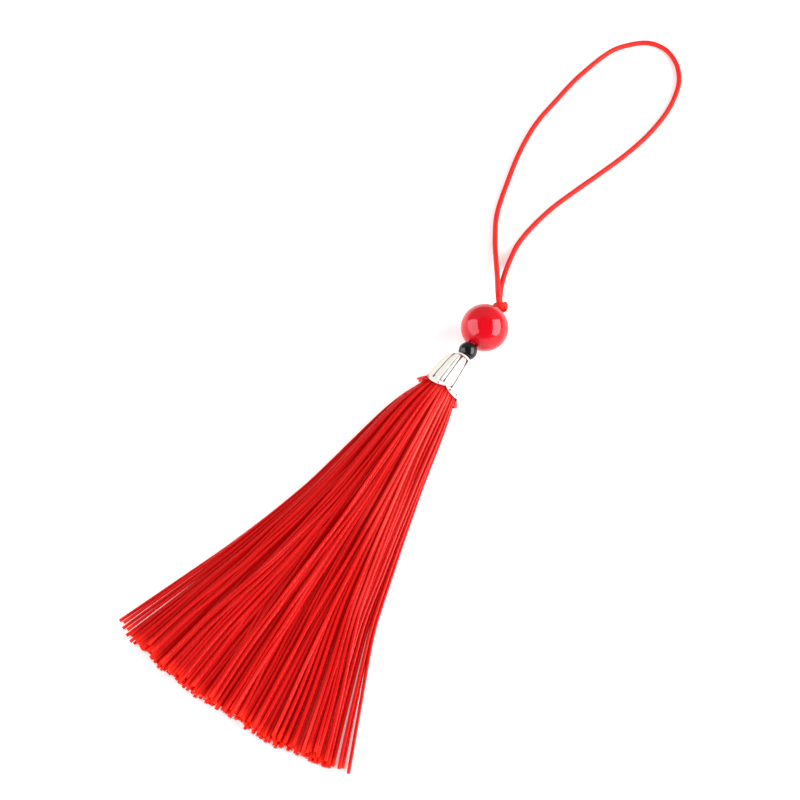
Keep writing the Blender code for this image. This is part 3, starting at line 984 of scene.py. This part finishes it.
def standingOff(places, random):
    # how far the threads at the edges stand off, and where that starts
    outward = np.abs(places[:, 0]) - skirt["looseFrom"]
    loose = np.clip(outward / (1 - skirt["looseFrom"]), 0, 1)
    loose *= random.uniform(skirt["looseLeast"], 1, len(places))
    left = places[:, 0] < 0
    loose *= np.where(left, -skirt["looseLeft"], skirt["looseRight"])
    return loose, np.where(left, skirt["looseStartLeft"], skirt["looseStartRight"])


def settled(start, wanted, radius):
    # threads that overlap push each other apart, above the table
    now = start
    for _ in range(skirt["rounds"]):
        gap = now[:, None] - now[None]
        distance = np.linalg.norm(gap, axis=2)
        np.fill_diagonal(distance, 9)
        overlap = np.clip(2 * radius * skirt["closeness"] - distance, 0, None)
        push = (gap / distance[:, :, None] * overlap[:, :, None]).sum(axis=1) * skirt["push"]
        now = now + push + (wanted - now) * skirt["pull"]
        now[:, 1] = np.maximum(now[:, 1], radius)
    return now


def waver(random, runs, spacing):
    # a smooth random wave along the threads, for each thread, between -1 and 1
    knots = np.arange(runs[0] - spacing, runs[-1] + 2 * spacing, spacing)
    heights = random.uniform(-1, 1, (skirt["threads"], len(knots)))
    place = (runs - knots[0]) / spacing
    index = place.astype(int)
    t = place - index
    t = t * t * (3 - 2 * t)
    return heights[:, index] * (1 - t) + heights[:, index + 1] * t


def threadLines(random, places, runs, radii):
    # where each thread passes each section, across and up, and the small clump it is in
    spans = skirt["spans"]
    bundleOf, bundleMiddles, bundleShift = gathered(
        places, skirt["bundles"], skirt["bundleShift"], random
    )
    clumpOf, middles, clumpShift = gathered(
        places, skirt["clumps"], skirt["clumpShift"], random
    )
    drift, raised = riding(middles, random)
    parted = partedBy(middles, drift)
    loose, looseStart = standingOff(places, random)
    across = waver(random, runs, skirt["wanderLength"]) * skirt["wander"]
    across = across * (1 - places[:, :1] ** 6)
    upper = shareAt(1, places[:, 1], (skirt["underside"],))
    rest = shareAt(1 - skirt["leftCling"], places[:, 0], (skirt["leftSide"],))
    sideways = skirt["leftCling"] + rest
    lines = []
    offset = np.zeros((len(places), 2))
    for k, run in enumerate(runs):
        bound = shareAt(skirt["bundleCohesion"], run, spans["bundle"])
        cling = shareAt(skirt["clumpCohesion"], run, spans["clump"])
        x = places[:, 0].copy()
        x += (bundleMiddles[bundleOf, 0] - x) * bound * upper
        x += shareAt(bundleShift[bundleOf], run, spans["bundleShift"])
        x += (middles[clumpOf, 0] - places[:, 0]) * cling * upper * sideways
        x += shareAt(parted[clumpOf], run, spans["parting"])
        x += shareAt(drift[clumpOf], run, spans["drift"])
        x += shareAt(clumpShift[clumpOf], run, spans["clumpShift"])
        x[x < 0] /= -x.min()
        x[x > 0] /= x.max()
        wanted = wantedPlaces(places, run)
        wanted[:, 0] += (x - places[:, 0]) * atRun(skirt["sections"], run)[0]
        wanted[:, 0] += shareAt(across[:, k], run, spans["wander"])
        offTo = (run - looseStart) / (skirt["looseFull"] - looseStart)
        wanted[:, 0] += loose * np.clip(offTo, 0, skirt["looseMost"])
        wanted[:, 1] += shareAt(raised[clumpOf], run, spans["lift"])
        wanted[:, 1] += radii[k]
        now = settled(wanted + offset * skirt["memory"], wanted, radii[k])
        offset = now - wanted
        lines.append(now)
    lines = np.stack(lines, axis=1)
    for _ in range(skirt["smoothings"]):
        lines[:, 1:-1] = (lines[:, :-2] + 2 * lines[:, 1:-1] + lines[:, 2:]) / 4
    return lines, clumpOf


def gleamAlong(random, places, runs):
    # how much painted highlight each thread has at each section
    x = places[:, :1]
    easing = np.where(x < 0, *skirt["gleamEasing"])
    lean = skirt["gleamLean"] * (x - easing * x**3)
    nearCap = skirt["gleamFadingStart"] - np.clip(runs / skirt["gleamFadingLength"], 0, 1)
    fading = skirt["gleamFading"] * nearCap
    bias = lean + fading[None, :] + skirt["gleamTop"] * places[:, 1:] + skirt["gleamBase"]
    uneven = waver(random, runs, skirt["gleamLength"]) * skirt["gleamUnevenness"]
    return np.clip(uneven + bias, 0, 1)


def cutChords(random, places, clumpOf):
    # how far the cut of each thread is from the middle of the cap's notches
    cuts = skirt["cutSteps"] * random.uniform(-1, 1, skirt["clumps"])[clumpOf]
    cuts = cuts + skirt["cutUnevenness"] * random.uniform(-1, 1, len(places))
    gain = np.where(places[:, 0] < 0, skirt["leftLengthening"], skirt["rightLengthening"])
    return cuts + skirt["chord"] + np.abs(places[:, 0]) * gain


def threadTube(path, runs, radii, cut, tint, gleam):
    stops = np.append(runs[runs < cut - skirt["evenRings"]], cut - np.array(skirt["endRings"]))
    line = np.stack([np.interp(stops, runs, path[:, k]) for k in range(3)], axis=1)
    thick = np.interp(stops, runs, radii) * mm
    thick[-1] *= skirt["endShare"]
    along = lengthsAlong(line) / mm
    values = {"tint": tint, "gleam": np.interp(stops, runs, gleam), "fromCut": along[-1] - along}
    return {"rings": ringsAlong(line, thick, skirt["sides"]), "along": along, "values": values}


def tieTube(line):
    along = lengthsAlong(line) / mm
    thick = np.full(len(line), skirt["tieRadius"] * mm)
    rings = ringsAlong(line, thick, skirt["sides"], (0, 0, 1))
    values = {"tint": skirt["tieTint"], "gleam": 0, "fromCut": along[-1] - along + 1}
    return {"rings": rings, "along": along, "values": values}


def makeSkirt():
    random = np.random.RandomState(skirt["seed"])
    places = evenSpread(skirt["threads"])
    runs = np.linspace(skirt["sections"][0][0], skirt["sections"][-1][0], skirt["steps"])
    radii = np.array([atRun(skirt["threadRadius"], run)[0] for run in runs])
    lines, clumpOf = threadLines(random, places, runs, radii)
    gleams = gleamAlong(random, places, runs)
    chords = cutChords(random, places, clumpOf)
    # threads lean deeper towards the left: painted shade on the side the weaker box lights
    tints = random.uniform(skirt["tintLeast"] * np.clip(skirt["tintLean"] * places[:, 0], 0, 1), 1)
    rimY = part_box("cap")[1].y - (cap["length"] - cap["lobe"]) * math.cos(cap["tilt"]) * mm
    tubes = []
    for line, gleam, chord, tint in zip(lines, gleams, chords, tints):
        path = np.stack([axisX / mm + line[:, 0], rimY / mm - runs, line[:, 1]], axis=1) * mm
        # the cut lies where the thread is the chord away from the middle of the notches; the
        # first two places are inside the cap
        reach = np.linalg.norm(path[:, :2] - np.array((axisX, rimY)), axis=1) / mm
        cut = np.interp(chord, reach[2:], runs[2:])
        tubes.append(threadTube(path, runs, radii, cut, tint, gleam))
    for points in skirt["tieEnds"]:
        ends = [np.array((axisX / mm + x, rimY / mm - past, z)) * mm for x, past, z in points]
        tubes.append(tieTube(smoothLine(ends, skirt["tieRings"])))
    mesh = tubesToMesh("threadSkirt", tubes)
    newPiece("threadSkirt", mesh, threadMaterial(), "tassel", "silk_thread", "skirt")
    print("skirt of", len(tubes), "threads,", len(mesh.polygons), "faces")


threadLook = {
    "bright": (0.56, 0.004, 0.0035),
    "deep": (0.40, 0.0015, 0.002),
    "pale": (0.98, 0.095, 0.075),  # where the light runs along a thread
    "paleShare": 0.75,
    "cut": (0.85, 0.022, 0.008),
    "glow": (0.60, 0.002, 0.002),  # painted glow for light that passes through the threads, which keeps shadows red
    "glowStrength": 0.18,
    "roughness": 0.32,
    "twistDepth": 0.5,
    "twistHeight": 0.04 * mm,
    "twistPitch": 1.3,  # millimetres
    "twistStart": 40.0,  # radians: each thread starts its twist at its tint's share of them
    "plies": 2,
    "plyHeight": 0.5,
    "plyShare": 0.14,
    "slubScale": 700.0,
    "slubShare": 0.6,
    "tintShare": 0.8,
    "cutRange": (2.6, -0.4),  # millimetres from the cut, where its colour starts and is full
    "gloss": 0.8,
    "glossTint": (1.0, 0.46, 0.42),
}


def threadMaterial():
    made, shader = newMaterial("silkThread", threadLook["bright"], threadLook["roughness"])
    tint = valueOf(made, "tint")
    turned, climb = windings(made, threadLook["plies"], threadLook["twistPitch"])
    own = mathNode(made, "MULTIPLY", tint, threadLook["twistStart"])
    angle = mathNode(made, "ADD", mathNode(made, "ADD", turned, climb), own)
    ply = mathNode(made, "SINE", angle)
    slub = noiseOf(made, threadLook["slubScale"], 3.0)
    plies = mathNode(made, "MULTIPLY", ply, threadLook["plyHeight"])
    height = mathNode(made, "ADD", plies, slub)
    slubby = mathNode(made, "SUBTRACT", slub, 0.5)
    uneven = mathNode(made, "MULTIPLY", slubby, threadLook["slubShare"])
    tinted = mathNode(made, "MULTIPLY", tint, threadLook["tintShare"])
    share = mathNode(made, "ADD", tinted, uneven)
    # painted shade in the grooves between the plies, and lighter crests
    plyShade = mathNode(made, "MULTIPLY", ply, threadLook["plyShare"])
    share = mathNode(made, "SUBTRACT", share, plyShade)
    colour = mixColours(made, share, threadLook["bright"], threadLook["deep"])
    # painted highlight along the threads
    shine = mathNode(made, "MULTIPLY", valueOf(made, "gleam"), threadLook["paleShare"])
    colour = mixColours(made, shine, colour, threadLook["pale"])
    end = rampNode(made, valueOf(made, "fromCut"), threadLook["cutRange"])
    colour = mixColours(made, end, colour, threadLook["cut"])
    join(made, colour, shader.inputs["Base Color"])
    bump = bumpFrom(made, height, threadLook["twistDepth"], threadLook["twistHeight"])
    join(made, bump, shader.inputs["Normal"])
    shader.inputs["Specular IOR Level"].default_value = threadLook["gloss"]
    shader.inputs["Specular Tint"].default_value = (*threadLook["glossTint"], 1)
    # painted glow, no lamp
    shader.inputs["Emission Color"].default_value = (*threadLook["glow"], 1)
    shader.inputs["Emission Strength"].default_value = threadLook["glowStrength"]
    return made


makeSkirt()

# Studio: white table, two tall soft boxes at the sides, and grey surroundings that are darker
# round the camera
studio = {
    "tableSize": 3.0,
    "table": (0.92, 0.92, 0.92),
    "tableRoughness": 0.9,
    "tableGlow": 0.26,
    "sky": 0.45,
    "darkSky": 0.04,
    # cosines of the angles off the camera's line where the sky starts to darken and is darkest
    "darkCone": (0.45, 0.80),
    "aim": (-7, -40, 0),  # the boxes face halfway between here and the red bead
    "boxDistance": 0.70,
    "boxHeight": 0.95,
    "brightness": 5.6,
    # for each box: the side it is on, its angle off the camera's line, width, lean and strength
    "boxes": (
        ("softBoxLeft", -1, math.radians(65), 0.80, math.radians(30), 0.70),
        ("softBoxRight", 1, math.radians(60), 0.55, math.radians(10), 1.25),
    ),
}


def makeTable():
    bm = bmesh.new()
    bmesh.ops.create_grid(bm, x_segments=2, y_segments=2, size=studio["tableSize"] / 2)
    mesh = bpy.data.meshes.new("table")
    bm.to_mesh(mesh)
    bm.free()
    table = bpy.data.objects.new("table", mesh)
    scene.collection.objects.link(table)
    made, shader = newMaterial("tablePaper", studio["table"], studio["tableRoughness"])
    shader.inputs["Specular IOR Level"].default_value = 0.0
    shader.inputs["Emission Color"].default_value = (1, 1, 1, 1)
    shader.inputs["Emission Strength"].default_value = studio["tableGlow"]
    mesh.materials.append(made)


def makeLights():
    toCamera = (cameraSeat.location - placed(*camera["lookAt"])).normalized()
    view = cameraSeat.rotation_euler.to_matrix()
    target = redCentre.lerp(placed(*studio["aim"]), 0.5)
    for name, sign, offAxis, width, lean, strength in studio["boxes"]:
        direction = toCamera * math.cos(offAxis) + view @ Vector((sign * math.sin(offAxis), 0, 0))
        data = bpy.data.lights.new(name, "AREA")
        data.shape = "RECTANGLE"
        data.size = width
        data.size_y = studio["boxHeight"]
        data.energy = studio["brightness"] * strength * math.pi * data.size * data.size_y
        lamp = bpy.data.objects.new(name, data)
        scene.collection.objects.link(lamp)
        up = view @ Vector((sign * math.sin(lean), math.cos(lean), 0))
        up = (up - direction * up.dot(direction)).normalized()
        turn = Matrix((up.cross(direction), up, direction)).transposed()
        seat = target + direction * studio["boxDistance"]
        lamp.matrix_world = Matrix.Translation(seat) @ turn.to_4x4()
        lamp.visible_camera = False
    return toCamera


def makeSky(toCamera):
    sky = bpy.data.worlds.new("studioSky")
    sky.use_nodes = True
    scene.world = sky
    background = sky.node_tree.nodes["Background"]
    spot = addNode(sky, "ShaderNodeTexCoord")
    facing = addNode(sky, "ShaderNodeVectorMath", operation="DOT_PRODUCT")
    join(sky, spot.outputs["Generated"], facing.inputs[0])
    facing.inputs[1].default_value = toCamera
    dark = rampNode(sky, facing.outputs["Value"], studio["darkCone"])
    bright = (studio["sky"],) * 3
    dim = (studio["darkSky"],) * 3
    join(sky, mixColours(sky, dark, bright, dim), background.inputs["Color"])


makeTable()
makeSky(makeLights())
print("table, soft boxes and surroundings")
